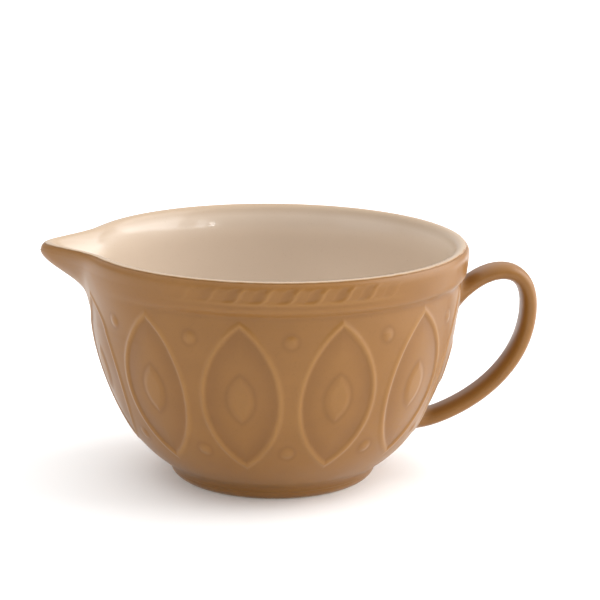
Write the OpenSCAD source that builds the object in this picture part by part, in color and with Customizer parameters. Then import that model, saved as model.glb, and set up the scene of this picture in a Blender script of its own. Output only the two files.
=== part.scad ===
// Batter bowl: a glazed stoneware mixing bowl with a pouring lip and a strap handle.
// It stands on its foot ring. The origin is the middle of the foot's resting face and Z is up.
// The handle is on the +X side and the pouring lip on the -X side.

/* [Bowl] */
// Greatest diameter, over the collar
rim_d = 222; // [208:1:236]
// Height from the resting face to the crest of the rim
bowl_h = 136.5; // [128:0.5:146]
// Thickness of the side wall, with its lining
wall_t = 5.7; // [5:0.1:6.6]
// Thickness of the base, with its lining
base_t = 7; // [5:0.5:9]
// How far the inside flares out between the shoulder and the rim
flare = 2.7; // [2:0.1:3.6]
// Angle of the wall off the upright where it leaves the foot
foot_lean = 58.5; // [52:0.5:62]
// Thickness of the cream lining
lining_t = 0.6; // [0.4:0.1:1]

/* [Collar] */
// Depth of the collar's lower edge under the crest
collar_h = 19.5; // [17:0.5:22]
// How far the collar stands out from the wall
collar_out = 5.2; // [4.4:0.1:6]
// Height of the slope under the collar
collar_step_h = 2.8; // [2:0.1:3.6]
// How far the collar leans out from its lower edge to the rim
collar_lean = 1.4; // [0.8:0.1:2]
// Height of the upright wall under the collar
shoulder_h = 5; // [3:0.5:8]

/* [Foot] */
// Diameter where the wall meets the foot
foot_d = 122.8; // [114:0.2:130]
// Height where the wall meets the foot
foot_h = 8.6; // [7.6:0.2:10]
// How far the foot draws in towards the ring
foot_taper = 1.7; // [1:0.1:2.4]
// Height of the foot ring
ring_h = 5; // [4:0.2:6]
// Radius of the ring's outer edge
ring_round = 5.7; // [5.2:0.1:7]
// Radius of the ring's inner edge
ring_inner_round = 1.5; // [1:0.1:2.2]
// Width of the resting face
rest_w = 6; // [4:0.5:8]

/* [Pouring lip] */
// How far the lip's nose stands out past the collar
lip_out = 21.5; // [16:0.5:26]
// Depth of the lip's root under the crest
lip_drop = 34.5; // [31:0.5:38]
// Width of the lip across the rim
lip_w = 76; // [66:1:86]
// Width of the lip at its root
lip_root_w = 4.2; // [3:0.2:6]
// Height of the channel's lower end over the lip's root
channel_rise = 2.5; // [1.5:0.5:5]

/* [Handle] */
// How far the strap's centre line stands out from the wall
handle_out = 42.5; // [38:0.5:48]
// Thickness of the strap
handle_t = 9.4; // [8.4:0.1:11]
// Width of the strap
handle_w = 19.5; // [17:0.5:23]
// Height of the upper joint on the wall
upper_root_h = 25; // [22:0.5:27]
// Height of the lower joint on the wall
lower_root_h = 15; // [13:0.5:18]
// Height of the lower joint's middle
lower_root_z = 29.5; // [27:0.5:32]
// Width of both joints on the wall
root_w = 27; // [24:0.5:31]
// Gap between the upper joint and the collar
root_gap = 0.5; // [0.3:0.1:1.5]

/* [Relief] */
// How far the relief stands out from the wall
relief_h = 0.9; // [0.6:0.1:1.3]
// Width of the raised lines
line_w = 2.6; // [2:0.1:3.4]
// Number of petals round the wall
petal_n = 12; // [8:2:14]
// Gap between the petals' tips and the collar
petal_top_gap = 3; // [2:0.5:6]
// Height of the petals' lower tips over the foot
petal_foot_gap = 17.4; // [14:0.2:20]
// Radius of the round buds between the petals
bud_r = 3.4; // [2.6:0.1:4.2]

/* [Rope band] */
// How far the rope's strokes stand out from the collar
strand_h = 0.6; // [0.4:0.1:0.9]
// Width of a stroke
strand_w = 1.8; // [1.4:0.1:2.4]
// Number of strokes in a full turn
strand_n = 48; // [36:4:60]
// Depth of the band's upper edge under the crest
rope_top = 2.6; // [2.2:0.1:3.2]
// Depth of the band's lower edge under the crest
rope_foot = 12; // [11:0.2:13]
// Height of the raised border under the strokes
border_h = 1.1; // [0.8:0.1:1.5]

/* [Hidden] */

$fn = 180;
// One length that lets a cut or a prism run past what it cuts
overrun = 12;
// How far an arc is swelled over its neighbour, so that the two cross instead of only touching
lap = 0.04;

// How the curves share out their length, as ratios of one arc's tangent to the other's
wall_turn_share = 2.54;
inner_turn_share = 1.5;
floor_share = 0.65;
// The part of the rolled rim without lining, in angles up from its outer side
bare_angles = [-15, 71.5];

// Radii and heights of the turned form
rim_r = rim_d / 2;
belly_r = rim_r - collar_out;
foot_r = foot_d / 2;
rim_t = collar_out + wall_t - flare;
roll_r = rim_t / 2;
roll = [rim_r - roll_r, bowl_h - roll_r];
collar_z = bowl_h - collar_h;
collar_foot_r = rim_r - collar_lean;
shoulder_z = collar_z - shoulder_h;
floor_z = ring_h + base_t;
ring_top_r = foot_r - foot_taper;
hollow_r = belly_r - wall_t;

function mix(a, b, share) = a + (b - a) * share;

// Two arcs, tangent where they meet, that leave p0 at an angle off the upright and reach p1 upright.
// The result is [meeting height, first centre, first radius, second centre, second radius].
function two_arcs(p0, angle, p1, turn_share) =
    let (t0 = [sin(angle), cos(angle)], t1 = [0, 1], v = p1 - p0,
         b = v * (t0 + turn_share * t1),
         q = 2 * turn_share * (1 - t0 * t1),
         d0 = (sqrt(b * b + q * (v * v)) - b) / q,
         u = v - turn_share * d0 * t1 - d0 * t0,
         turn = atan2(u[0], u[1]),
         r0 = d0 / tan((angle - turn) / 2),
         r1 = turn_share * d0 / tan(turn / 2))
    [p1[1] - r1 * sin(turn), p0 + r0 * [-t0[1], t0[0]], r0 + 2 * lap, p1 - [r1, 0], r1 + lap];

outside = two_arcs([foot_r, foot_h], foot_lean, [belly_r, shoulder_z], wall_turn_share);
inside = two_arcs([floor_share * foot_r, floor_z], 90, [hollow_r, shoulder_z], inner_turn_share);

// The flare is one arc that runs into the rolled rim; its centre lies in the clay's side
flare_rise = roll[1] - collar_z;
flare_in = roll[0] - hollow_r;
flare_r = (pow(flare_in, 2) + pow(flare_rise, 2) - pow(roll_r - lap, 2)) / 2 / (flare_in - roll_r + lap);
flare_c = [hollow_r + flare_r, collar_z];
flare_angle = atan2(flare_rise, roll[0] - flare_c[0]);

// Radius at a height under the collar, within a pair of arcs moved outwards by g
function arc_r(c, r, z) = c[0] + sqrt(pow(r, 2) - pow(z - c[1], 2));
function curve_r(arcs, limit_r, z, g) = min(limit_r + g,
    z < shoulder_z ? arc_r(arcs[3], arcs[4] + g, z) : limit_r + g,
    z < arcs[0] ? arc_r(arcs[1], arcs[2] + g, z) : limit_r + g);

// Radius of the outside of the wall and the collar at a height
function outer_r(z) =
    let (step_z = collar_z + collar_step_h)
    z < collar_z ? curve_r(outside, belly_r, z, 0)
    : z < step_z ? mix(belly_r, collar_foot_r, (z - collar_z) / collar_step_h)
    : z < roll[1] ? mix(collar_foot_r, rim_r, (z - step_z) / (roll[1] - step_z))
    : roll[0] + sqrt(pow(roll_r, 2) - pow(z - roll[1], 2));

// Radius of the inside at a height, moved outwards by g
function inner_r(z, g) =
    z < collar_z ? curve_r(inside, hollow_r, z, g)
    : flare_c[0] - sqrt(pow(flare_r - g, 2) - pow(z - collar_z, 2));

// Half outlines, in radius and height

// Within a pair of arcs moved outwards by g, from height z0 to the collar
module within_arcs(arcs, limit_r, z0, g) intersection() {
    translate([0, z0]) square([limit_r + g, collar_z - z0]);
    union() {
        translate(arcs[3]) circle(arcs[4] + g);
        translate([0, shoulder_z]) square([rim_r, collar_h]);
    }
    union() {
        translate(arcs[1]) circle(arcs[2] + g);
        translate([0, arcs[0]]) square([rim_r, collar_z]);
        square([arcs[1][0], collar_z]);
    }
}

module outside_2d(g) within_arcs(outside, belly_r, ring_h, g);
module hollow_2d(g) within_arcs(inside, hollow_r, floor_z - g, g);

// The collar and the rolled rim, within the inside moved outwards by g
module rim_2d(g) intersection() {
    translate(flare_c) circle(flare_r + lap - g);
    union() {
        polygon([[hollow_r + g, collar_z], [belly_r, collar_z], [collar_foot_r, collar_z + collar_step_h],
                 [rim_r, roll[1]], roll, [hollow_r + g, roll[1] - (flare_in - g) * tan(flare_angle)]]);
        translate(roll) circle(roll_r - g);
    }
}

// The part of the rolled rim that the lining leaves bare
module bare_crest_2d(r) intersection() {
    translate(roll) circle(r);
    polygon([roll, for (share = [0 : 0.25 : 1])
        let (a = mix(bare_angles[0], bare_angles[1], share)) roll + rim_t * [cos(a), sin(a)]]);
}

module wall_2d() {
    difference() {
        union() {
            outside_2d(0);
            polygon([[0, ring_h], [ring_top_r, ring_h],
                     [mix(ring_top_r, foot_r, base_t / (foot_h - ring_h)), floor_z], [0, floor_z]]);
        }
        hollow_2d(lining_t);
    }
    rim_2d(lining_t);
    bare_crest_2d(roll_r);
}

module lining_2d() difference() {
    union() {
        hollow_2d(lining_t);
        rim_2d(0);
    }
    hollow_2d(0);
    rim_2d(lining_t);
    bare_crest_2d(roll_r);
}

module ring_2d() {
    round_c = [ring_top_r - sqrt(pow(ring_round, 2) - pow(ring_round - ring_h, 2)), ring_round];
    inner = round_c[0] - rest_w - ring_inner_round;
    intersection() {
        translate([inner, 0]) square([ring_top_r - inner, ring_h]);
        union() {
            translate(round_c) circle(ring_round);
            translate([inner + ring_inner_round, 0]) square([rest_w, ring_h]);
            translate([inner, ring_inner_round]) square([round_c[0] - inner, ring_h]);
            translate([inner + ring_inner_round, ring_inner_round]) circle(ring_inner_round);
        }
    }
}

// The pouring lip. A row of its section is [radius, height, how far the middle is pushed out].

lip_z = bowl_h - lip_drop;
lip_slope = (lip_w - lip_root_w) / 2 / lip_drop;
lip_columns = 28;
// The lip's plan: how blunt its nose is, and how straight its sides are
nose_share = 0.12;
straight_share = 0.45;
// How late the keel swings out
keel_share = 1.15;

function lip_half_w(z) = lip_root_w / 2 + lip_slope * (z - lip_z);
function ease(t) = let (s = pow(min(max(t, 0), 1), keel_share)) s * s * (3 - 2 * s);
function spread(u) =
    let (s = (norm([u, nose_share]) - nose_share) / (norm([1, nose_share]) - nose_share))
    mix((1 + cos(180 * u)) / 2, 1 - s, straight_share);
function keel_push(z) =
    belly_r + (collar_out + lip_out) * ease((z - lip_z) / (roll[1] - lip_z)) - outer_r(z);
function channel_push(z) = lip_out * ease((z - lip_z - channel_rise) / (roll[1] - lip_z - channel_rise));

function outer_row(z) = [outer_r(z), z, keel_push(z)];
function outer_rows() = [
    for (share = [0 : 1 / 6 : 1]) outer_row(mix(lip_z, collar_z, share)),
    for (share = [0 : 1 / 5 : 1]) outer_row(mix(collar_z + collar_step_h, roll[1], share))];
function roll_rows(a0, a1, g, n) = [for (i = [0 : n])
    let (a = mix(a0, a1, i / n), r = roll_r - g)
    [roll[0] + r * cos(a), roll[1] + r * sin(a), lip_out]];
function inner_rows(g) = [for (i = [1 : 9])
    let (z = mix(roll[1] + (roll_r - g) * sin(flare_angle), lip_z, i / 9))
    [inner_r(z, g), z, channel_push(z)]];
function backwards(list) = [for (i = [len(list) - 1 : -1 : 0]) list[i]];

function lip_point(row, u) =
    let (y = u * lip_half_w(row[1]))
    [-sqrt(row[0] * row[0] - y * y) - row[2] * spread(u), y, row[1]];
function lip_loops(rows) = [for (i = [0 : lip_columns])
    [for (row = rows) lip_point(row, 1 - 2 * i / lip_columns)]];

// A closed skin over loops that have as many points each. Crossed is for a skin that lies on another,
// with its loops' points in the opposite order, so that both are cut into the same triangles.
module skin(loops, crossed = false) {
    n = len(loops[0]);
    m = len(loops);
    polyhedron(points = [for (loop = loops) each loop], faces = [
        for (i = [0 : m - 2], j = [0 : n - 1])
            let (a = i * n + j, b = i * n + (j + 1) % n)
            each crossed ? [[a, b, a + n], [b, b + n, a + n]] : [[a, b, b + n], [a, b + n, a + n]],
        [for (j = [n - 1 : -1 : 0]) j],
        [for (j = [0 : n - 1]) (m - 1) * n + j]]);
}

// The wedge that the lip fills in the wall
module lip_wedge() {
    z1 = bowl_h + overrun;
    w0 = lip_half_w(lip_z);
    w1 = lip_half_w(z1);
    rotate([90, 0, -90]) linear_extrude(rim_r + overrun)
        polygon([[-w0, lip_z], [w0, lip_z], [w1, z1], [-w1, z1]]);
}

// The strap handle: two cubic curves in the XZ plane, from the upper joint over the top and back down

upper_root_z = collar_z - root_gap - upper_root_h / 2;
handle_rise = upper_root_z - lower_root_z;
upper_path_shares = [[0, 0.972], [0.372, 1.232], [1, 1.272], [1, 0.889]];
lower_path_shares = [[1, 0.889], [1, 0.43], [0.28, 0.073]];
// The strap aims a little under the middle of its lower joint
path_end_share = -0.035;
path_end_z = lower_root_z + path_end_share * handle_rise;
strap_points = 20;
strap_steps = 40;
// Where the strap ends and its joints begin, as shares of the whole path
upper_end_share = 0.09;
lower_end_share = 0.93;
// How far back towards the wall a joint follows the strap's direction
blend_share = 0.6;
joint_steps = 7;
// How far a joint's flat facets stay off the round wall
seat_gap = 0.05;
// Corner of the strap's section: 1 is an oval, and less is squarer
section_share = 0.86;

function path_point(shares) = [belly_r + handle_out * shares[0], lower_root_z + handle_rise * shares[1]];
upper_curve = [for (s = upper_path_shares) path_point(s)];
lower_curve = [for (s = lower_path_shares) path_point(s), [outer_r(path_end_z), path_end_z]];

function cubic(p, t) =
    pow(1 - t, 3) * p[0] + 3 * t * pow(1 - t, 2) * p[1] + 3 * t * t * (1 - t) * p[2] + pow(t, 3) * p[3];
function cubic_slope(p, t) =
    pow(1 - t, 2) * (p[1] - p[0]) + 2 * t * (1 - t) * (p[2] - p[1]) + t * t * (p[3] - p[2]);
function path_at(share) = share < 0.5 ? cubic(upper_curve, 2 * share) : cubic(lower_curve, 2 * share - 1);
function path_slope(share) =
    let (d = share < 0.5 ? cubic_slope(upper_curve, 2 * share) : cubic_slope(lower_curve, 2 * share - 1))
    d / norm(d);

function softened(v) = sign(v) * pow(abs(v), section_share);
function strap_ring(share) =
    let (c = path_at(share), t = path_slope(share))
    [for (k = [0 : strap_points - 1])
        let (a = 360 * k / strap_points,
             out = handle_t / 2 * softened(cos(a)),
             across = handle_w / 2 * softened(sin(a)))
        [c[0] - t[1] * out, across, c[1] + t[0] * out]];

// An oval on the wall: way is 1 where the strap's outer face is the upper one, and -1 where it is lower
function wall_oval(z, h, way, share) =
    [for (k = [0 : strap_points - 1])
        let (a = 360 * k / strap_points,
             y = share * root_w / 2 * sin(a),
             zk = z + way * share * h / 2 * cos(a))
        [sqrt(pow(outer_r(zk) + seat_gap, 2) - y * y), y, zk]];

// The clay worked round a handle's end: each line curves from the wall's oval to run along the strap
function joint_loops(z, h, way, end_share) =
    let (foot = wall_oval(z, h, way, 1),
         ring = strap_ring(end_share),
         slope = path_slope(end_share),
         back = -way * blend_share / abs(slope[0]) * [slope[0], 0, slope[1]])
    [for (share = [0.1, 0.4, 0.7]) wall_oval(z, h, way, share),
     for (i = [0 : joint_steps]) [for (k = [0 : strap_points - 1])
        let (bend = ring[k] + abs(ring[k][0] - foot[k][0]) * back, w = i / joint_steps)
        mix(mix(foot[k], bend, w), mix(bend, ring[k], w), w)]];

// The relief. A petal's outline is where two discs overlap, seen along the radius.

petal_low_z = foot_h + petal_foot_gap;
petal_high_z = collar_z - petal_top_gap;
petal_mid_z = (petal_low_z + petal_high_z) / 2;
petal_pitch = 360 / petal_n;
petal_share = 0.82;
seed_share = 0.3;
// Heights of the buds, as shares of the petal's height
bud_shares = [0.12, 0.88];

// The space where two discs overlap: h high and w across, running outwards along X
module pointed_oval(h, w) {
    c = (h * h / w - w) / 4;
    intersection_for (side = [-1, 1])
        translate([foot_r, side * c, petal_mid_z])
            rotate([0, 90, 0]) cylinder(h = rim_r - foot_r + overrun, r = c + w / 2);
}

module relief_shell() rotate(-petal_pitch / 2) rotate_extrude(angle = petal_pitch) difference() {
    outside_2d(relief_h);
    outside_2d(0);
    square([rim_r, foot_h + line_w]);
}

module petal() {
    h = petal_high_z - petal_low_z;
    w = 2 * belly_r * sin(petal_pitch / 2) * petal_share;
    intersection() {
        relief_shell();
        union() {
            difference() {
                pointed_oval(h, w);
                pointed_oval(h - 2 * line_w * h / w, w - 2 * line_w);
            }
            pointed_oval(h * seed_share, w * seed_share);
        }
    }
}

module buds() intersection() {
    relief_shell();
    for (share = bud_shares)
        translate([foot_r, 0, mix(petal_low_z, petal_high_z, share)])
            rotate([0, 90, 0]) cylinder(h = rim_r - foot_r + overrun, r = bud_r);
}

// The rope band. It stops well short of the handle and the lip, where the mould runs out smooth.

rope_z0 = bowl_h - rope_foot;
rope_z1 = bowl_h - rope_top;
rope_handle_angle = 38;
rope_lip_angle = 44;
rope_slant = 45;
// Half of the turn that one stroke covers
stroke_angle = atan((rope_z1 - rope_z0) / 2 / rim_r);

// The collar's side, moved outwards by g
module collar_2d(g)
    polygon([[0, 0], [collar_foot_r + g, collar_z + collar_step_h], [rim_r + g, roll[1]], roll]);

module rope_shell(start, z0, z1) rotate(start)
    rotate_extrude(angle = 180 - rope_handle_angle - rope_lip_angle) intersection() {
        translate([0, z0]) square([rim_r + overrun, z1 - z0]);
        difference() {
            union() {
                collar_2d(strand_h);
                bare_crest_2d(roll_r + strand_h);
            }
            collar_2d(0);
            translate(roll) circle(roll_r);
        }
    }

// The rope along one side: 1 is the +Y side and -1 the other. From outside, all its strokes lean one way.
module rope_side(side) {
    start = side > 0 ? rope_handle_angle : 180 + rope_lip_angle;
    rope_shell(start, rope_z0, rope_z0 + border_h);
    intersection() {
        rope_shell(start, rope_z0 + border_h / 2, rope_z1);
        for (i = [0 : strand_n / 2 - 1])
            let (a = (i + 0.5) * 360 / strand_n)
                if (a > rope_handle_angle + stroke_angle && a < 180 - rope_lip_angle - stroke_angle)
                    rotate(side * a) translate([belly_r, 0, (rope_z0 + rope_z1) / 2])
                        rotate([-rope_slant, 0, 0]) translate([0, -strand_w / 2, -overrun])
                            cube([overrun, strand_w, 2 * overrun]);
    }
}

cane = "#b5875a";
cream = "#e6d7c3";
bare = "#d9c4a4";

module bowl_wall() color(cane) difference() {
    rotate_extrude() wall_2d();
    lip_wedge();
}

module foot_ring() color(bare) rotate_extrude() ring_2d();

module cream_lining() color(cream) difference() {
    rotate_extrude() lining_2d();
    lip_wedge();
}

module pouring_lip() color(cane) skin(lip_loops(concat(
    outer_rows(),
    roll_rows(bare_angles[1] / 3, bare_angles[1], 0, 2),
    roll_rows(bare_angles[1], flare_angle, lining_t, 4),
    inner_rows(lining_t))));

module lip_lining() color(cream) skin(lip_loops(concat(
    roll_rows(bare_angles[1], flare_angle, 0, 4),
    inner_rows(0),
    backwards(inner_rows(lining_t)),
    backwards(roll_rows(bare_angles[1], flare_angle, lining_t, 4)))), crossed = true);

module strap_handle() color(cane) skin([for (i = [0 : strap_steps])
    strap_ring(mix(upper_end_share, lower_end_share, i / strap_steps))]);

module upper_handle_joint() color(cane)
    skin(joint_loops(upper_root_z, upper_root_h, 1, upper_end_share));

module lower_handle_joint() color(cane)
    skin(backwards(joint_loops(lower_root_z, lower_root_h, -1, lower_end_share)));

module rope_band() color(cane) {
    rope_side(1);
    rope_side(-1);
}

module petal_relief() color(cane) {
    for (i = [0 : petal_n - 1]) rotate((i + 0.5) * petal_pitch) petal();
    for (i = [1 : petal_n - 1]) if (i != petal_n / 2) rotate(i * petal_pitch) buds();
}

bowl_wall();
foot_ring();
cream_lining();
pouring_lip();
lip_lining();
strap_handle();
upper_handle_joint();
lower_handle_joint();
rope_band();
petal_relief();
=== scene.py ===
import math

import bpy
import numpy as np
from mathutils import Matrix, Vector


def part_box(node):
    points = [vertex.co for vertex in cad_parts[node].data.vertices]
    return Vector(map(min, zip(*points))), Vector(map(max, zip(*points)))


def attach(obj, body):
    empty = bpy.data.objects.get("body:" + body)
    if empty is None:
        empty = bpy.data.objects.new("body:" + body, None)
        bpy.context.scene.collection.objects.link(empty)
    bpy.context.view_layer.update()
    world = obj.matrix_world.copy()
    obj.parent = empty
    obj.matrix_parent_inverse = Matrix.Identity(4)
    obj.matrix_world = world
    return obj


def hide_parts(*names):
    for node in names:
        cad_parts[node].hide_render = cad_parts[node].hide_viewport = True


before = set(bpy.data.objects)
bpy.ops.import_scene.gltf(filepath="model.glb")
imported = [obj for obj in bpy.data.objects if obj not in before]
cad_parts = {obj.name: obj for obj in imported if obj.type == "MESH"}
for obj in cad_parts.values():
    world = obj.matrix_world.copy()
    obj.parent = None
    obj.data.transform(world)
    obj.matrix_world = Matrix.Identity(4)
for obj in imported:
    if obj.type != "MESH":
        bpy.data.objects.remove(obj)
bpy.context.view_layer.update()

MM = 0.001


def node_box(name):
    """A CAD node's lowest and highest corners, in millimetres."""
    low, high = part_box(name)
    return np.array(low) / MM, np.array(high) / MM


# Sizes read from the CAD nodes
WALL_HIGH = node_box("bowl_wall")[1]
RIM_R = WALL_HIGH[1]
BOWL_H = node_box("cream_lining")[1][2]
RING_H = node_box("foot_ring")[1][2]
RING_TOP_R = node_box("foot_ring")[1][1]
LIP_LOW, LIP_HIGH = node_box("pouring_lip")
LIP_Z = LIP_LOW[2]
LIP_OUT = -LIP_LOW[0] - RIM_R
LIP_HALF_W = LIP_HIGH[1]
STRAP_LOW, STRAP_HIGH = node_box("strap_handle")
HANDLE_W = STRAP_HIGH[1] - STRAP_LOW[1]
JOINT_LOW, JOINT_HIGH = node_box("upper_handle_joint")
ROOT_W = JOINT_HIGH[1] - JOINT_LOW[1]
UPPER_ROOT_H = JOINT_HIGH[2] - JOINT_LOW[2]
RELIEF_LOW, RELIEF_HIGH = node_box("petal_relief")
ROPE_LOW, ROPE_HIGH = node_box("rope_band")

# Sizes repeated from the part's source, in millimetres
WALL_T = 5.7
BASE_T = 7.0
FLARE = 2.7
FOOT_LEAN = 58.5
LINING_T = 0.6
COLLAR_H = 19.5
COLLAR_OUT = 5.2
COLLAR_STEP_H = 2.8
COLLAR_LEAN = 1.4
SHOULDER_H = 5.0
FOOT_R = 61.4
FOOT_H = 8.6
LIP_ROOT_W = 4.2
CHANNEL_RISE = 2.5
HANDLE_OUT = 42.5
HANDLE_T = 9.4
ROOT_GAP = 0.5
LOWER_ROOT_H = 15.0
LOWER_ROOT_Z = 29.5
LINE_W = 2.6
PETALS = 12
BUD_R = 3.4
STRAND_W = 1.8
STRANDS = 48
BORDER_H = 1.1
WALL_TURN_SHARE, INNER_TURN_SHARE, FLOOR_SHARE = 2.54, 1.5, 0.65
NOSE_SHARE, STRAIGHT_SHARE, KEEL_SHARE = 0.12, 0.45, 1.15
PETAL_SHARE, SEED_SHARE = 0.82, 0.3
BUD_SHARES = (0.12, 0.88)
PATH_END_SHARE = -0.035

# Where the cream ends on the rim's roll, in degrees up from its outer side. The solids' lining ends
# at 71.5 degrees; the glaze runs on a little further.
BARE_ANGLE = 60.0

# Worked out from them
BELLY_R = RIM_R - COLLAR_OUT
HOLLOW_R = BELLY_R - WALL_T
RIM_T = COLLAR_OUT + WALL_T - FLARE
ROLL_R = RIM_T / 2
ROLL = np.array([RIM_R - ROLL_R, BOWL_H - ROLL_R])
COLLAR_Z = BOWL_H - COLLAR_H
COLLAR_FOOT_R = RIM_R - COLLAR_LEAN
SHOULDER_Z = COLLAR_Z - SHOULDER_H
FLOOR_Z = RING_H + BASE_T

# Fineness of the meshes: samples round the axis, and steps along the outlines in millimetres
AROUND = 1200
CLAY_STEP, CREAM_STEP, HIDDEN_STEP = 0.5, 1.0, 4.0
# How much the glaze rounds the outside's corners, in millimetres
CORNER_BLUR = 1.7


# Outlines of the bowl, in radius and height


def two_arcs(p0, angle, p1, turn_share):
    """Two arcs, tangent where they meet, that leave p0 at an angle off the upright and reach p1
    upright. What comes back is the height where they meet, and the centre and radius of each."""
    p0, p1 = np.array(p0), np.array(p1)
    t0, t1 = np.array([math.sin(angle), math.cos(angle)]), np.array([0.0, 1.0])
    v = p1 - p0
    b = v @ (t0 + turn_share * t1)
    q = 2 * turn_share * (1 - t0 @ t1)
    d0 = (math.sqrt(b * b + q * (v @ v)) - b) / q
    u = v - turn_share * d0 * t1 - d0 * t0
    turn = math.atan2(u[0], u[1])
    r0 = d0 / math.tan((angle - turn) / 2)
    r1 = turn_share * d0 / math.tan(turn / 2)
    return p1[1] - r1 * math.sin(turn), p0 + r0 * np.array([-t0[1], t0[0]]), r0, p1 - [r1, 0], r1


OUTSIDE = two_arcs((FOOT_R, FOOT_H), math.radians(FOOT_LEAN), (BELLY_R, SHOULDER_Z), WALL_TURN_SHARE)
FLOOR_EDGE = (FLOOR_SHARE * FOOT_R, FLOOR_Z)
INSIDE = two_arcs(FLOOR_EDGE, math.pi / 2, (HOLLOW_R, SHOULDER_Z), INNER_TURN_SHARE)

FLARE_RISE = ROLL[1] - COLLAR_Z
FLARE_IN = ROLL[0] - HOLLOW_R
FLARE_R = (FLARE_IN**2 + FLARE_RISE**2 - ROLL_R**2) / 2 / (FLARE_IN - ROLL_R)
FLARE_X = HOLLOW_R + FLARE_R
FLARE_ANGLE = math.atan2(FLARE_RISE, ROLL[0] - FLARE_X)


def arc_r(c, r, z):
    return c[0] + np.sqrt(np.maximum(r * r - (z - c[1]) ** 2, 0))


def curve_r(arcs, z, g=0.0):
    """Radius of a pair of arcs at a height, moved outwards by g."""
    low = arc_r(arcs[1], arcs[2] + g, z)
    high = arc_r(arcs[3], arcs[4] + g, np.minimum(z, SHOULDER_Z))
    return np.where(z < arcs[0], low, high)


def outer_r(z):
    z = np.asarray(z, float)
    step = BELLY_R + (COLLAR_FOOT_R - BELLY_R) * (z - COLLAR_Z) / COLLAR_STEP_H
    rise = ROLL[1] - COLLAR_Z - COLLAR_STEP_H
    lean = COLLAR_FOOT_R + COLLAR_LEAN * (z - COLLAR_Z - COLLAR_STEP_H) / rise
    roll = ROLL[0] + np.sqrt(np.maximum(ROLL_R**2 - (z - ROLL[1]) ** 2, 0))
    zones = [z < COLLAR_Z, z < COLLAR_Z + COLLAR_STEP_H, z < ROLL[1]]
    return np.select(zones, [curve_r(OUTSIDE, z), step, lean], roll)


def inner_r(z, g=0.0):
    z = np.asarray(z, float)
    flare = FLARE_X - np.sqrt(np.maximum((FLARE_R - g) ** 2 - (z - COLLAR_Z) ** 2, 0))
    return np.where(z < COLLAR_Z, curve_r(INSIDE, z, g), flare)


def bell(sigma):
    """Weights of a blur, sigma in samples, and how many samples it reaches to each side."""
    half = int(math.ceil(3 * sigma))
    w = np.exp(-0.5 * (np.arange(-half, half + 1) / sigma) ** 2)
    return w / w.sum(), half


def resampled(points, step, blur=0.0):
    """An open outline with its points at even steps, its corners rounded by about the blur's length."""
    p = np.array(points, float)
    s = np.r_[0, np.cumsum(np.hypot(*np.diff(p, axis=0).T))]
    n = max(int(round(s[-1] / step)), 4)
    t = np.linspace(0, s[-1], n + 1)
    p = np.stack([np.interp(t, s, p[:, k]) for k in (0, 1)], 1)
    if blur:
        w, half = bell(blur / (s[-1] / n))
        # beyond its ends the outline runs on straight
        before = p[0] + (p[0] - p[1]) * np.arange(half, 0, -1)[:, None]
        after = p[-1] + (p[-1] - p[-2]) * np.arange(1, half + 1)[:, None]
        padded = np.r_[before, p, after]
        p = np.stack([np.convolve(padded[:, k], w, "valid") for k in (0, 1)], 1)
    return p


def roll_points(a0, a1, r, n=16):
    return [ROLL + r * np.array([math.cos(a), math.sin(a)]) for a in np.linspace(a0, a1, n)]


def outer_outline():
    """From the top of the foot ring up over the wall and the collar to the edge of the cream lining."""
    foot = [(RING_TOP_R, RING_H), (FOOT_R, FOOT_H)]
    wall = [(float(outer_r(z)), z) for z in np.linspace(FOOT_H, COLLAR_Z - 1e-6, 160)[1:]]
    collar = [(COLLAR_FOOT_R, COLLAR_Z + COLLAR_STEP_H), (RIM_R, ROLL[1])]
    return foot + wall + collar + roll_points(0, math.radians(BARE_ANGLE), ROLL_R)[1:]


def inner_outline(g=0.0):
    """From the edge of the cream lining over the crest and down to the middle of the floor. g is its
    distance into the clay."""
    roll = roll_points(math.radians(BARE_ANGLE), FLARE_ANGLE, ROLL_R - g, 22)
    # heights gather towards the floor, where the arc lies flat
    low = FLOOR_Z - g
    heights = low + (roll[-1][1] - low) * np.linspace(1, 0, 220)[1:] ** 2
    flare = [(float(inner_r(z, g)), z) for z in heights]
    return roll + flare + [(0.0, low)]


# The pouring lip: how far the middle of the wall is pushed out at each height, and how that fades
# to its sides

LIP_SLOPE = (LIP_HALF_W - LIP_ROOT_W / 2) / (WALL_HIGH[2] - LIP_Z)
# Azimuths, counted from the handle, between which the collar's step fades into the lip's root
STEP_FULL, STEP_GONE = 112, 156
# Heights between which the wall swells out to the rim there
SWELL_LOW, SWELL_HIGH = 94.0, 127.0
# How softly the lip's foot sets in: across it, out of the wall, and in height
FOOT_HALF_W, FOOT_SOFT, FOOT_LEAD, FOOT_FADE = 5.0, 1.2, 5.0, 9.0
# The share of the lip's half width at which its side begins to soften, and that over which it does
SIDE_START, SIDE_FADE = 0.25, 0.35
# Blurs round the axis, in samples: on the wall, along the crest, and inside the bowl
WALL_BLUR, CREST_BLUR, INSIDE_BLUR = 6.0, 12.0, 24.0
# How far under the crest the crest's blur sets in, and over which height; and over which depth the
# inside's does
CREST_DEPTH, CREST_FADE, INSIDE_FADE = 14.0, 10.0, 11.0


def smooth(t):
    t = np.clip(t, 0, 1)
    return t * t * (3 - 2 * t)


def ease(t):
    return smooth(np.clip(t, 0, 1) ** KEEL_SHARE)


def soft_max(d, e):
    return (d + np.sqrt(d * d + e * e)) / 2


def spread(u):
    s = (np.sqrt(u * u + NOSE_SHARE**2) - NOSE_SHARE) / (math.sqrt(1 + NOSE_SHARE**2) - NOSE_SHARE)
    return (1 - STRAIGHT_SHARE) * (1 + np.cos(np.pi * u)) / 2 + STRAIGHT_SHARE * (1 - s)


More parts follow.
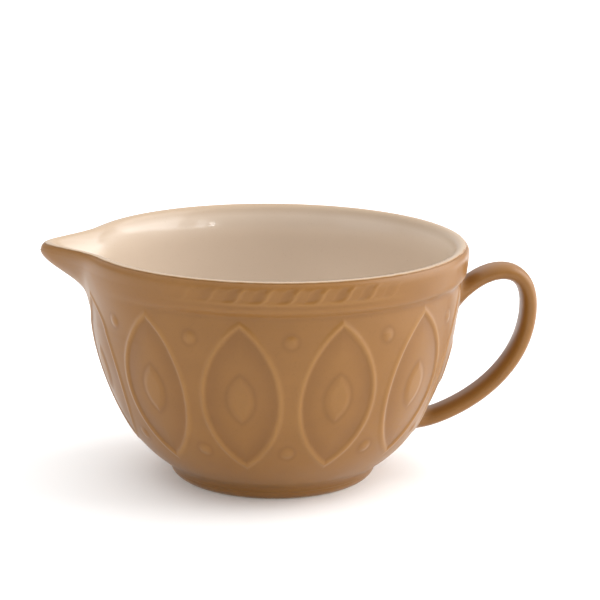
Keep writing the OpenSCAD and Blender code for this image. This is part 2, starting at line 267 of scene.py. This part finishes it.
def blurred_round(rows, sigma):
    """Each row blurred round the axis, sigma in samples."""
    w, half = bell(sigma)
    return sum(wk * np.roll(rows, k, 1) for k, wk in zip(range(-half, half + 1), w))


def lip_amount(push, r, z, a):
    """How far each point is pushed along -X. The lip's sides run into the wall without a crease."""
    half = soft_max(LIP_SLOPE * (z - LIP_Z), FOOT_HALF_W)
    u = np.clip(np.abs(r * np.sin(a)) / half, 0, 1)
    amount = np.where(np.cos(a) < 0, push * spread(u), 0)
    soft = blurred_round(amount, WALL_BLUR)
    # the bend at the throat is rounder along the crest
    crest = smooth((z - BOWL_H + CREST_DEPTH) / CREST_FADE)
    soft += crest * (blurred_round(amount, CREST_BLUR) - soft)
    return amount + smooth((u - SIDE_START) / SIDE_FADE) * (soft - amount)


def outside_push(r, z, a):
    """The radii, with the wall swelled out to the rim near the lip, and the push of its outside."""
    near_lip = smooth((np.degrees(np.abs(a)) - STEP_FULL) / (STEP_GONE - STEP_FULL))
    t = (z - SWELL_LOW) / (SWELL_HIGH - SWELL_LOW)
    low, high = float(outer_r(SWELL_LOW)), float(outer_r(SWELL_HIGH))
    swell = low + (high - low) * smooth(t)
    r = np.where((t > 0) & (t < 1), r + near_lip * (swell - r), r)
    reach = BELLY_R + (COLLAR_OUT + LIP_OUT) * ease((z - LIP_Z) / (ROLL[1] - LIP_Z))
    push = soft_max(reach - r, FOOT_SOFT) * smooth((z - LIP_Z + FOOT_LEAD) / FOOT_FADE)
    return r, np.where(z < ROLL[1], push, LIP_OUT)


def inside_push(z):
    """The push of the lip's channel."""
    top = ROLL[1] + ROLL_R * math.sin(FLARE_ANGLE)
    foot = LIP_Z + CHANNEL_RISE
    return np.where(z < top, LIP_OUT * ease((z - foot) / (ROLL[1] - foot)), LIP_OUT)


def turned_outside(outline, relief):
    """The rows of an outline turned round the axis, with the lip drawn out of them and a relief laid
    on them, and the relief's tone."""
    a = np.linspace(-np.pi, np.pi, AROUND, endpoint=False)[None, :]
    r, z = outline[:, 0][:, None] + 0 * a, outline[:, 1][:, None] + 0 * a
    r, push = outside_push(r, z, a)
    x, y = r * np.cos(a) - lip_amount(push, r, z, a), r * np.sin(a)
    h, tone = relief(r, z, np.degrees(a) + 0 * r)
    t = np.gradient(outline, axis=0)
    t /= np.hypot(t[:, 0], t[:, 1])[:, None]
    nr, nz = t[:, 1][:, None], -t[:, 0][:, None]
    return np.stack([x + h * nr * np.cos(a), y + h * nr * np.sin(a), z + h * nz], 2), tone


def turned_inside(outline):
    """The rows of an outline turned round the axis, with the lip's channel drawn out of them, and how
    far it is drawn out as a share of the lip's reach."""
    a = np.linspace(-np.pi, np.pi, AROUND, endpoint=False)[None, :]
    r, z = outline[:, 0][:, None] + 0 * a, outline[:, 1][:, None] + 0 * a
    amount = lip_amount(inside_push(z), r, z, a)
    # below the crest the channel's sides open out softly into the bowl
    amount += smooth((BOWL_H - z) / INSIDE_FADE) * (blurred_round(amount, INSIDE_BLUR) - amount)
    return np.stack([r * np.cos(a) - amount, r * np.sin(a), z], 2), amount / LIP_OUT


# The relief: heights over the wall, and tones from -1 where glaze gathers to 1 where it thins, with
# painted shade under the collar and the rope's border

# A petal's raised line: height, tone and soft width as a share of the line's
RIDGE_H, RIDGE_TONE, RIDGE_SHARE = 0.6, 0.9, 0.6
# The dip inside it: depth, tone, the shares of the line's width at which it sets in and begins to
# fade, and the millimetres that each takes
DIP_H, DIP_TONE, DIP_SHARES, DIP_RISE, DIP_FADE = 0.25, 0.6, (0.7, 1.4), 2.0, 7.0
# The seed: height, tone, how far outside its oval it sets in, and over which length
SEED_H, SEED_TONE, SEED_OUT, SEED_RISE = 0.62, 0.35, 1.4, 4.5
# The buds: height, tone, and their reach and their rise as shares of their radius
BUD_H, BUD_TONE, BUD_REACH_SHARE, BUD_RISE_SHARE = 0.6, 0.5, 1.3, 1.1
# Glaze gathered round a seed: tone, how far outside its oval, and soft width; and round a bud
SEED_EDGE_TONE, SEED_EDGE_OUT, SEED_EDGE_W = 0.5, 1.2, 1.3
BUD_EDGE_TONE, BUD_EDGE_W = 0.4, 1.2
# The rope's strands: height, tone, soft width as a share of theirs, and how much they bend to an S
STRAND_H, STRAND_TONE, STRAND_SHARE, STRAND_BEND = 0.5, 0.8, 0.75, 0.9
# The hollows beside them: depth, tone, and their place and soft width as shares of the pitch
HOLLOW_H, HOLLOW_TONE, HOLLOW_PLACE, HOLLOW_SHARE = 0.32, 0.55, 0.3, 0.22
# Shares of the band's height at which the strands set in and end, each with that over which they do
STRAND_FOOT, STRAND_TOP = (0.04, 0.2), (1.02, 0.22)
# Lines round the collar, each with its height in the bowl, soft width, rise and tone: the rope's
# border, painted shade under it, and a faint line at the collar's foot
COLLAR_LINES = (
    (ROPE_LOW[2] + 0.4 * BORDER_H, 0.95, 0.32, 0.5),
    # painted shade under the rope's border: darker, with no rise
    (ROPE_LOW[2] - 1.7, 0.9, 0.0, -0.35),
    (COLLAR_Z + COLLAR_STEP_H + 1.0, 0.8, 0.12, 0.25),
)
# Degrees from the handle and from the lip at which the rope sets in, each with those that this takes
ROPE_FROM_HANDLE, ROPE_FROM_LIP = (52, 24), (50, 28)
# Painted shade on the wall under the collar's step: tone, how far under it, soft width, and the
# degrees over which it fades towards the lip
SHADE_TONE, SHADE_UNDER, SHADE_W, SHADE_FADE = 0.35, 0.8, 1.3, 40


def hill(d, w):
    return np.exp(-((d / w) ** 2))


def oval_depth(y, z, mid, h, w):
    """Distance inside a pointed oval, the overlap of two discs."""
    c = (h * h / w - w) / 4
    return c + w / 2 - np.hypot(np.abs(y) + c, z - mid)


def petal(y, z, mid, tall, wide):
    """Heights and tones of one petal and its seed, y across it."""
    d = oval_depth(y, z, mid, tall, wide)
    ridge = hill(d - LINE_W / 2, LINE_W * RIDGE_SHARE)
    # inside the petal the ground dips along the line and comes up again towards the middle
    start, end = LINE_W * DIP_SHARES[0], LINE_W * DIP_SHARES[1]
    dip = smooth((d - start) / DIP_RISE) * hill(np.maximum(d - end, 0), DIP_FADE)
    h = RIDGE_H * ridge - DIP_H * dip
    tone = RIDGE_TONE * ridge - DIP_TONE * dip
    seed = oval_depth(y, z, mid, tall * SEED_SHARE, wide * SEED_SHARE)
    dome, edge = smooth((seed + SEED_OUT) / SEED_RISE), hill(seed + SEED_EDGE_OUT, SEED_EDGE_W)
    h = h * (1 - dome) + SEED_H * dome
    return h, tone * (1 - dome) + SEED_TONE * dome - SEED_EDGE_TONE * edge


def wall_relief(r, z, a):
    low, high = RELIEF_LOW[2], RELIEF_HIGH[2]
    tall = high - low
    pitch = 360 / PETALS
    wide = 2 * BELLY_R * math.sin(math.radians(pitch / 2)) * PETAL_SHARE
    h, tone = petal(r * np.radians((a + 360) % pitch - pitch / 2), z, (low + high) / 2, tall, wide)
    # round buds between the petals, left out behind the handle and under the lip
    across = r * np.radians((a + 360 + pitch / 2) % pitch - pitch / 2)
    free = (np.abs(a) > pitch / 2) & (np.abs(a) < 180 - pitch / 2)
    reach, rise = BUD_R * BUD_REACH_SHARE, BUD_R * BUD_RISE_SHARE
    for share in BUD_SHARES:
        e = np.hypot(across, z - (low + share * tall))
        dome = np.where(free, smooth((reach - e) / rise), 0)
        edge = np.where(free, hill(e - reach, BUD_EDGE_W), 0)
        h, tone = h + BUD_H * dome, tone + BUD_TONE * dome - BUD_EDGE_TONE * edge
    return h, tone


def rope_relief(r, z, a):
    """Slanted strands with soft hollows between them, a border under them with painted shade under it,
    and a faint line at the collar's foot."""
    low, high = ROPE_LOW[2], ROPE_HIGH[2]
    from_lip = np.abs((a + 360) % 360 - 180)
    here = smooth((180 - from_lip - ROPE_FROM_HANDLE[0]) / ROPE_FROM_HANDLE[1])
    here *= smooth((from_lip - ROPE_FROM_LIP[0]) / ROPE_FROM_LIP[1])
    t = (z - low) / (high - low)
    bend = STRAND_BEND * np.sin(2 * np.pi * np.clip(t, 0, 1))
    along = np.radians(a + 360) * RIM_R - (z - low) - bend
    pitch = 2 * np.pi * RIM_R / STRANDS
    d = (along - pitch / 4) % pitch - pitch / 2
    ends = smooth((t - STRAND_FOOT[0]) / STRAND_FOOT[1]) * smooth((STRAND_TOP[0] - t) / STRAND_TOP[1])
    strand = hill(d, STRAND_W * STRAND_SHARE)
    hollow = hill(d + pitch * HOLLOW_PLACE, pitch * HOLLOW_SHARE)
    h = (STRAND_H * strand - HOLLOW_H * hollow) * ends
    tone = (STRAND_TONE * strand - HOLLOW_TONE * hollow) * ends
    for at, width, rise, shade in COLLAR_LINES:
        line = hill(z - at, width)
        h, tone = h + rise * line, tone + shade * line
    return h * here, tone * here


def skin_relief(r, z, a):
    on_wall, on_collar = wall_relief(r, z, a), rope_relief(r, z, a)
    high = z > COLLAR_Z + COLLAR_STEP_H / 2
    # painted shade: the wall darkened under the collar's step, fading where the step fades into the lip
    shade = SHADE_TONE * hill(z - COLLAR_Z + SHADE_UNDER, SHADE_W)
    tone = on_wall[1] - shade * smooth((STEP_GONE - np.abs(a)) / SHADE_FADE)
    return np.where(high, on_collar[0], on_wall[0]), np.where(high, on_collar[1], tone)


# Meshes


def make_mesh(name, points, faces, **values):
    """A smooth mesh from points in millimetres, with an attribute for each named list of values."""
    mesh = bpy.data.meshes.new(name)
    mesh.from_pydata((np.asarray(points) * MM).tolist(), [], faces)
    mesh.polygons.foreach_set("use_smooth", [True] * len(mesh.polygons))
    for key, numbers in values.items():
        layer = mesh.attributes.new(key, "FLOAT", "POINT")
        layer.data.foreach_set("value", np.asarray(numbers, np.float32))
    mesh.update()
    obj = bpy.data.objects.new(name, mesh)
    bpy.context.scene.collection.objects.link(obj)
    return obj


def ring_faces(rows, n):
    faces = []
    for i in range(rows - 1):
        for j in range(n):
            a, b = i * n + j, i * n + (j + 1) % n
            faces.append((a, b, b + n, a + n))
    return faces


def capped_skin(name, rows, **values):
    """A closed skin over rows of points, each end row drawn together to its middle."""
    m, n, _ = rows.shape
    points = np.r_[rows.reshape(-1, 3), [rows[0].mean(0), rows[-1].mean(0)]]
    start, end, last = m * n, m * n + 1, (m - 1) * n
    faces = ring_faces(m, n)
    faces += [(start, (j + 1) % n, j) for j in range(n)]
    faces += [(end, last + j, last + (j + 1) % n) for j in range(n)]
    flat = {key: np.r_[v.ravel(), 0, 0] for key, v in values.items()}
    return make_mesh(name, points, faces, **flat)


def seat_rows():
    """The face between the clay and the cream, from the rim inwards."""
    return turned_inside(resampled(inner_outline(LINING_T), HIDDEN_STEP)[:-1])[0]


def body_piece():
    """The clay: underside, wall with its relief, collar, the bare part of the crest, and the side
    under the lining."""
    outer = resampled(outer_outline(), CLAY_STEP, CORNER_BLUR)
    under = np.array([(r, RING_H) for r in np.linspace(1, outer[0, 0], 12)[:-1]])
    rows, tone = turned_outside(np.r_[under, outer], skin_relief)
    seat = seat_rows()
    return capped_skin("glazed_body", np.r_[rows, seat], tone=np.r_[tone, np.zeros(seat.shape[:2])])


def lining_piece():
    """The cream glaze inside: its free face, and the face that lies on the clay. With it go how far
    each point lies from the glaze's edge on the crest, in millimetres, and its share of the lip's
    reach."""
    free = resampled(inner_outline(), CREAM_STEP)[:-1]
    rows, lip = turned_inside(free)
    seat = seat_rows()[::-1]
    none = np.zeros(seat.shape[:2])
    steps = np.r_[0, np.cumsum(np.hypot(*np.diff(free, axis=0).T))]
    edge = np.r_[none, steps[:, None] + np.zeros((1, AROUND))]
    return capped_skin("cream_glaze_lining", np.r_[seat, rows], edge=edge, lip=np.r_[none, lip])


# The handle, one skin from joint to joint

UPPER_ROOT_Z = COLLAR_Z - ROOT_GAP - UPPER_ROOT_H / 2
HANDLE_RISE = UPPER_ROOT_Z - LOWER_ROOT_Z
UPPER_SHARES = ((0, 0.972), (0.372, 1.232), (1, 1.272), (1, 0.889))
LOWER_SHARES = ((1, 0.889), (1, 0.43), (0.28, 0.073))
PATH_END_Z = LOWER_ROOT_Z + PATH_END_SHARE * HANDLE_RISE
# Where the joints end along the strap, as shares of it
UPPER_END, LOWER_END = 0.09, 0.93
# Samples round the strap, along it and along a joint
STRAP_AROUND, STRAP_STEPS, JOINT_STEPS = 72, 150, 16
# 1 is a plain oval, less is squarer
STRAP_SHAPE = 0.86
# A joint's foot and heel as shares of its oval on the wall, how proud the heel stands on it, and how
# far its fillet follows the strap, as a share of their distance
FOOT_SHARE, HEEL_SHARE, HEEL_PROUD, FILLET_SHARE = 1.04, 0.8, 0.35, 0.55
# The joint's hidden end, in shares of the oval, and how deep in the wall it lies
SUNK_SHARES, SUNK = (0.02, 0.5, 1.0), 1.2


def cubic(p, t):
    return (1 - t) ** 3 * p[0] + 3 * t * (1 - t) ** 2 * p[1] + 3 * t * t * (1 - t) * p[2] + t**3 * p[3]


def cubic_slope(p, t):
    return (1 - t) ** 2 * (p[1] - p[0]) + 2 * t * (1 - t) * (p[2] - p[1]) + t * t * (p[3] - p[2])


def path_point(s):
    return np.array([BELLY_R + HANDLE_OUT * s[0], LOWER_ROOT_Z + HANDLE_RISE * s[1]])


UPPER_CURVE = [path_point(s) for s in UPPER_SHARES]
PATH_END = np.array([float(outer_r(PATH_END_Z)), PATH_END_Z])
LOWER_CURVE = [path_point(s) for s in LOWER_SHARES] + [PATH_END]

ROUND = np.arange(STRAP_AROUND) * 2 * np.pi / STRAP_AROUND


def squared(wave):
    return np.sign(wave) * np.abs(wave) ** STRAP_SHAPE


def strap_ring(share):
    """The strap's section at a share of its length, and the strap's direction there."""
    half, t = (UPPER_CURVE, 2 * share) if share < 0.5 else (LOWER_CURVE, 2 * share - 1)
    c, d = cubic(half, t), cubic_slope(half, t)
    d = d / np.hypot(*d)
    o = HANDLE_T / 2 * squared(np.cos(ROUND))
    return np.stack([c[0] - d[1] * o, HANDLE_W / 2 * squared(np.sin(ROUND)), c[1] + d[0] * o], 1), d


def wall_oval(z, h, way, share, proud=0.0):
    """A share of a joint's oval on the wall, as high as h at z."""
    y = share * ROOT_W / 2 * np.sin(ROUND)
    zk = z + way * share * h / 2 * np.cos(ROUND)
    return np.stack([np.sqrt((outer_r(zk) + proud) ** 2 - y * y), y, zk], 1)


def joint_rings(z, h, way, end):
    """From inside the wall, out along it in a soft fillet, and then along the strap."""
    ring, d = strap_ring(end)
    back = -way / abs(d[0]) * np.array([d[0], 0, d[1]])
    foot, heel = wall_oval(z, h, way, FOOT_SHARE), wall_oval(z, h, way, HEEL_SHARE, HEEL_PROUD)
    reach = np.abs(ring[:, :1] - foot[:, :1])
    path = (foot, heel, ring + FILLET_SHARE * reach * back, ring)
    sunk = [wall_oval(z, h, way, share, -SUNK) for share in SUNK_SHARES]
    return sunk + [cubic(path, w) for w in np.linspace(0, 1, JOINT_STEPS)]


def handle_piece():
    upper = joint_rings(UPPER_ROOT_Z, UPPER_ROOT_H, 1, UPPER_END)
    lower = joint_rings(LOWER_ROOT_Z, LOWER_ROOT_H, -1, LOWER_END)
    middle = [strap_ring(s)[0] for s in np.linspace(UPPER_END, LOWER_END, STRAP_STEPS)[1:-1]]
    # the lower joint's rings run the other way round the strap, as its outer face is the lower one
    return capped_skin("strap", np.array(upper + middle + lower[::-1]))


# Materials, in linear colours. Noise scales are in cells per metre.

WHITE = (1, 1, 1)
CANE_DEEP, CANE_PALE = (0.226, 0.098, 0.019), (0.262, 0.119, 0.027)
CREAM_DEEP, CREAM_PALE = (0.59, 0.482, 0.38), (0.64, 0.535, 0.43)
CLAY_DEEP, CLAY_PALE = (0.42, 0.30, 0.19), (0.58, 0.44, 0.30)
# Between these a noise's values mostly lie
NOISE_LOW, NOISE_HIGH = 0.3, 0.7
# What multiplies the cane glaze where it gathers and where shade is painted, where it lies even and
# where it thins
CANE_SHADES = ((0.0, (0.78, 0.72, 0.62)), (0.5, WHITE), (1.0, (1.22, 1.3, 1.5)))
CANE_ROUGH, CANE_SPECULAR = (0.31, 0.4), 0.34
# What multiplies the cream where it is thin, over the crest and in the lip
CREAM_THIN = (0.71, 0.63, 0.54)
CREAM_ROUGH, CREAM_SPECULAR = (0.17, 0.23), (0.15, 0.5)
COAT_WEIGHT, COAT_ROUGH = 0.45, 0.06
# Millimetres from the cream's edge between which it thickens, its specular level rises, and a glossier
# coat comes over it; and the share of the lip's reach at which the coat is gone
THICKENS, BRIGHTENS, COAT_GROWS, COAT_GONE = (4.0, 11.0), (4.0, 12.0), (8.0, 16.0), 0.15
# Millimetres by which the cream's edge wanders to each side
CREAM_WANDER = 0.3
# Metres by which the glaze's edge on the foot ring wanders, the heights between which it begins, and
# the roughness of bare clay and of that glaze
RING_WANDER, RING_EDGE, RING_ROUGH = 0.0012, (0.0002, 0.0008), (0.75, 0.28)


def new_material(name):
    """A material with its node tree, its shader and the object's own coordinates."""
    mat = bpy.data.materials.new(name)
    mat.use_nodes = True
    tree = mat.node_tree
    coords = tree.nodes.new("ShaderNodeTexCoord").outputs["Object"]
    return mat, tree, tree.nodes["Principled BSDF"], coords


def put(tree, value, socket):
    """Links a socket to another one, or sets a plain value on it."""
    if hasattr(value, "links"):
        tree.links.new(value, socket)
    else:
        socket.default_value = value


def combined(tree, operation, *values):
    """A sum or the like of sockets and plain values."""
    n = tree.nodes.new("ShaderNodeMath")
    n.operation = operation
    for value, socket in zip(values, n.inputs):
        put(tree, value, socket)
    return n.outputs[0]


def ramp(tree, source, stops):
    """A colour ramp of (position, (r, g, b)) stops."""
    n = tree.nodes.new("ShaderNodeValToRGB")
    while len(n.color_ramp.elements) < len(stops):
        n.color_ramp.elements.new(0.5)
    for e, (at, colour) in zip(n.color_ramp.elements, stops):
        e.position, e.color = at, (*colour, 1)
    tree.links.new(source, n.inputs["Fac"])
    return n.outputs["Color"]


def mixed(tree, kind, fac, a, b):
    """Two colours mixed; fac, a and b are sockets or plain values."""
    n = tree.nodes.new("ShaderNodeMix")
    n.data_type, n.blend_type = "RGBA", kind
    for socket, value in ((n.inputs[0], fac), (n.inputs[6], a), (n.inputs[7], b)):
        put(tree, (*value, 1) if isinstance(value, tuple) else value, socket)
    return n.outputs[2]


def clouded(tree, source, deep, pale):
    """A colour that goes from deep to pale with a noise."""
    return ramp(tree, source, [(NOISE_LOW, deep), (NOISE_HIGH, pale)])


def tinted(tree, body, source, low, high, tint, amount=1.0):
    """A colour with a tint on it where the source is under low, and none where it is over high."""
    return mixed(tree, "MULTIPLY", amount, body, ramp(tree, source, [(low, tint), (high, WHITE)]))


def noise(tree, coords, scale, detail=3.0, rough=0.5):
    n = tree.nodes.new("ShaderNodeTexNoise")
    for key, value in (("Scale", scale), ("Detail", detail), ("Roughness", rough)):
        n.inputs[key].default_value = value
    tree.links.new(coords, n.inputs["Vector"])
    return n.outputs["Fac"]


def bumped(tree, shader, height, strength, distance):
    n = tree.nodes.new("ShaderNodeBump")
    n.inputs["Strength"].default_value, n.inputs["Distance"].default_value = strength, distance
    tree.links.new(height, n.inputs["Height"])
    tree.links.new(n.outputs["Normal"], shader.inputs["Normal"])


def scaled(tree, socket, low, high, to_low=0.0, to_high=1.0):
    n = tree.nodes.new("ShaderNodeMapRange")
    tree.links.new(socket, n.inputs["Value"])
    for key, value in (("From Min", low), ("From Max", high), ("To Min", to_low), ("To Max", to_high)):
        n.inputs[key].default_value = value
    return n.outputs["Result"]


def attribute(tree, name):
    n = tree.nodes.new("ShaderNodeAttribute")
    n.attribute_name = name
    return n.outputs["Fac"]


def cane_glaze():
    """Transparent honey glaze on buff clay: paler where it thins on raised lines, darker where it
    gathers, and darkened by painted shade under the collar and under the rope's border."""
    mat, tree, shader, coords = new_material("cane_glaze")
    broad = noise(tree, coords, 11.0)
    cloud = noise(tree, coords, 55.0, 4.0)
    speck = noise(tree, coords, 750.0, 2.0)
    body = clouded(tree, broad, CANE_DEEP, CANE_PALE)
    body = tinted(tree, body, cloud, NOISE_LOW, NOISE_HIGH, (0.88, 0.86, 0.84), 0.6)
    thin = scaled(tree, attribute(tree, "tone"), -1.0, 1.0)
    body = mixed(tree, "MULTIPLY", 1.0, body, ramp(tree, thin, CANE_SHADES))
    body = tinted(tree, body, speck, 0.3, 0.42, (0.95, 0.94, 0.92))
    tree.links.new(body, shader.inputs["Base Color"])
    rough = scaled(tree, cloud, NOISE_LOW, NOISE_HIGH, *CANE_ROUGH)
    tree.links.new(rough, shader.inputs["Roughness"])
    shader.inputs["Specular IOR Level"].default_value = CANE_SPECULAR
    bumped(tree, shader, cloud, 0.08, 0.0006)
    return mat


def cream_colour(tree, coords, edge, lip):
    """Faintly clouded and specked, warmer where it is thin, and the clay's tan at its edge."""
    body = clouded(tree, noise(tree, coords, 9.0, 2.0), CREAM_DEEP, CREAM_PALE)
    body = tinted(tree, body, noise(tree, coords, 1300.0, 2.0), 0.22, 0.34, (0.86, 0.82, 0.76))
    thin = combined(tree, "MAXIMUM", scaled(tree, edge, *THICKENS, 1.0, 0.0), lip)
    body = mixed(tree, "MULTIPLY", thin, body, CREAM_THIN)
    ripple = scaled(tree, noise(tree, coords, 160.0), 0.25, 0.75, -CREAM_WANDER, CREAM_WANDER)
    inside = scaled(tree, combined(tree, "ADD", edge, ripple), -0.1, 1.1)
    return mixed(tree, "MIX", inside, CANE_PALE, body)


def cream_glaze():
    """Cream glaze, glossy under the crest, and duller over it and in the lip, where it is thin."""
    mat, tree, shader, coords = new_material("cream_glaze")
    edge, lip = attribute(tree, "edge"), attribute(tree, "lip")
    tree.links.new(cream_colour(tree, coords, edge, lip), shader.inputs["Base Color"])
    wave = noise(tree, coords, 70.0, 2.0)
    rough = scaled(tree, wave, NOISE_LOW, NOISE_HIGH, *CREAM_ROUGH)
    tree.links.new(rough, shader.inputs["Roughness"])
    specular = scaled(tree, edge, *BRIGHTENS, *CREAM_SPECULAR)
    tree.links.new(specular, shader.inputs["Specular IOR Level"])
    bumped(tree, shader, wave, 0.1, 0.0005)
    under_crest = scaled(tree, edge, *COAT_GROWS, 0.0, COAT_WEIGHT)
    off_lip = scaled(tree, lip, 0.0, COAT_GONE, COAT_WEIGHT, 0.0)
    tree.links.new(combined(tree, "MINIMUM", under_crest, off_lip), shader.inputs["Coat Weight"])
    shader.inputs["Coat Roughness"].default_value = COAT_ROUGH
    return mat


def foot_clay():
    """The ring: glaze run thin over its side, and bare clay where it was wiped for the kiln shelf."""
    mat, tree, shader, coords = new_material("foot_clay")
    grain = noise(tree, coords, 700.0, 4.0, 0.6)
    cloud = noise(tree, coords, 80.0)
    split = tree.nodes.new("ShaderNodeSeparateXYZ")
    tree.links.new(coords, split.inputs[0])
    height = combined(tree, "MULTIPLY_ADD", cloud, -RING_WANDER, split.outputs["Z"])
    glazed = scaled(tree, height, *RING_EDGE)
    bare = clouded(tree, grain, CLAY_DEEP, CLAY_PALE)
    coat = clouded(tree, cloud, CANE_DEEP, CANE_PALE)
    tree.links.new(mixed(tree, "MIX", glazed, bare, coat), shader.inputs["Base Color"])
    tree.links.new(scaled(tree, glazed, 0.0, 1.0, *RING_ROUGH), shader.inputs["Roughness"])
    bumped(tree, shader, grain, 0.25, 0.0003)
    return mat


# The bowl


def paint(obj, material):
    obj.data.materials.clear()
    obj.data.materials.append(material)


def dress(piece, material, slot, *nodes):
    paint(piece, material)
    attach(piece, "root")
    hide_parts(*nodes)


CANE, CREAM = cane_glaze(), cream_glaze()
dress(body_piece(), CANE, "cane_glaze", "bowl_wall", "pouring_lip", "petal_relief", "rope_band")
dress(lining_piece(), CREAM, "cream_glaze", "cream_lining", "lip_lining")
dress(handle_piece(), CANE, "cane_glaze", "strap_handle", "upper_handle_joint", "lower_handle_joint")
paint(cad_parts["foot_ring"], foot_clay())


# The studio, in metres

FLOOR_HALF, FLOOR_DEEP, FLOOR_PALE = 20.0, (0.93, 0.93, 0.93), (0.95, 0.95, 0.95)
# How much the floor glows near the bowl and far away, and the distances between which that changes
GLOW, GLOW_REACH = (0.06, 0.6), (0.3, 2.2)
# Name, place, size and watts of the lights
LIGHTS = (
    ("key", (1.8, 0.1, 1.15), (2.4, 1.8), 50),
    ("low", (1.75, -0.3, 0.2), (2.4, 0.36), 6.5),
    ("pane_wide", (1.252, -1.161, 0.38), (0.2, 0.4), 1.0),
    ("pane_small", (1.072, -1.333, 0.38), (0.1, 0.2), 0.7),
    ("left", (-1.8, -0.6, 0.7), (1.6, 1.0), 3),
)
# The surround's strength straight up, straight to the back and straight to the left
ABOVE, BEHIND, LEFT = 1.6, 0.55, 0.2
# The camera, fitted to the photograph: place, aim, roll in degrees, lens and sensor in millimetres
CAMERA_PLACE, CAMERA_AIM = (-0.0986, -1.10522, 0.37162), (0.01478, -0.00129, 0.10096)
CAMERA_ROLL, LENS, SENSOR = 0.667, 119.47, 36.0


def floor_material():
    mat, tree, shader, coords = new_material("pale_floor")
    tone = ramp(tree, noise(tree, coords, 3.0), [(0.0, FLOOR_DEEP), (1.0, FLOOR_PALE)])
    tree.links.new(tone, shader.inputs["Base Color"])
    shader.inputs["Roughness"].default_value = 0.9
    shader.inputs["Specular IOR Level"].default_value = 0.1
    # a pale sweep: the floor glows a little, and more so far away, as a lit backdrop does
    far = tree.nodes.new("ShaderNodeVectorMath")
    far.operation = "LENGTH"
    tree.links.new(coords, far.inputs[0])
    shader.inputs["Emission Color"].default_value = (*WHITE, 1)
    glow = scaled(tree, far.outputs["Value"], *GLOW_REACH, *GLOW)
    tree.links.new(glow, shader.inputs["Emission Strength"])
    return mat


def floor_piece():
    corners = [(x * FLOOR_HALF, y * FLOOR_HALF, 0) for x, y in ((-1, -1), (1, -1), (1, 1), (-1, 1))]
    mesh = bpy.data.meshes.new("floor")
    mesh.from_pydata(corners, [], [(0, 1, 2, 3)])
    mesh.materials.append(floor_material())
    obj = bpy.data.objects.new("floor", mesh)
    bpy.context.scene.collection.objects.link(obj)


def area_light(name, place, size, power, target):
    data = bpy.data.lights.new(name, "AREA")
    data.shape, data.size, data.size_y = "RECTANGLE", *size
    data.energy = power
    obj = bpy.data.objects.new(name, data)
    obj.location = place
    obj.rotation_euler = (Vector(target) - Vector(place)).to_track_quat("-Z", "Y").to_euler()
    bpy.context.scene.collection.objects.link(obj)


def surround():
    """Soft light from all round: most of it from above, some from behind and a little from the left."""
    world = bpy.data.worlds.new("studio")
    world.use_nodes = True
    tree = world.node_tree
    split = tree.nodes.new("ShaderNodeSeparateXYZ")
    tree.links.new(tree.nodes.new("ShaderNodeTexCoord").outputs["Generated"], split.inputs[0])
    total = scaled(tree, split.outputs["Z"], 0.0, 1.0, 0.0, ABOVE)
    for axis, far, strength in (("Y", 1.0, BEHIND), ("X", -1.0, LEFT)):
        total = combined(tree, "ADD", total, scaled(tree, split.outputs[axis], 0.0, far, 0.0, strength))
    background = tree.nodes["Background"]
    tree.links.new(total, background.inputs["Strength"])
    background.inputs["Color"].default_value = (*WHITE, 1)
    return world


def studio():
    """A large key light to the right with a strip under it, the two panes of a window in front, which
    show inside the bowl as a gleam, a weak light to the left, and the surround."""
    scene = bpy.context.scene
    scene.world = surround()
    for light in LIGHTS:
        area_light(*light, (0, 0, BOWL_H * MM / 2))
    scene.view_settings.view_transform = "Standard"
    scene.view_settings.look = "None"


def camera():
    place = Vector(CAMERA_PLACE)
    forward = (Vector(CAMERA_AIM) - place).normalized()
    right = forward.cross(Vector((0, 0, 1))).normalized()
    up = right.cross(forward)
    co, si = math.cos(math.radians(CAMERA_ROLL)), math.sin(math.radians(CAMERA_ROLL))
    x, y = right * co + up * si, up * co - right * si
    data = bpy.data.cameras.new("camera")
    data.lens, data.sensor_width, data.sensor_fit = LENS, SENSOR, "HORIZONTAL"
    data.clip_start, data.clip_end = 0.05, 60
    obj = bpy.data.objects.new("camera", data)
    obj.matrix_world = Matrix.Translation(place) @ Matrix((x, y, -forward)).transposed().to_4x4()
    bpy.context.scene.collection.objects.link(obj)
    bpy.context.scene.camera = obj


floor_piece()
studio()
camera()
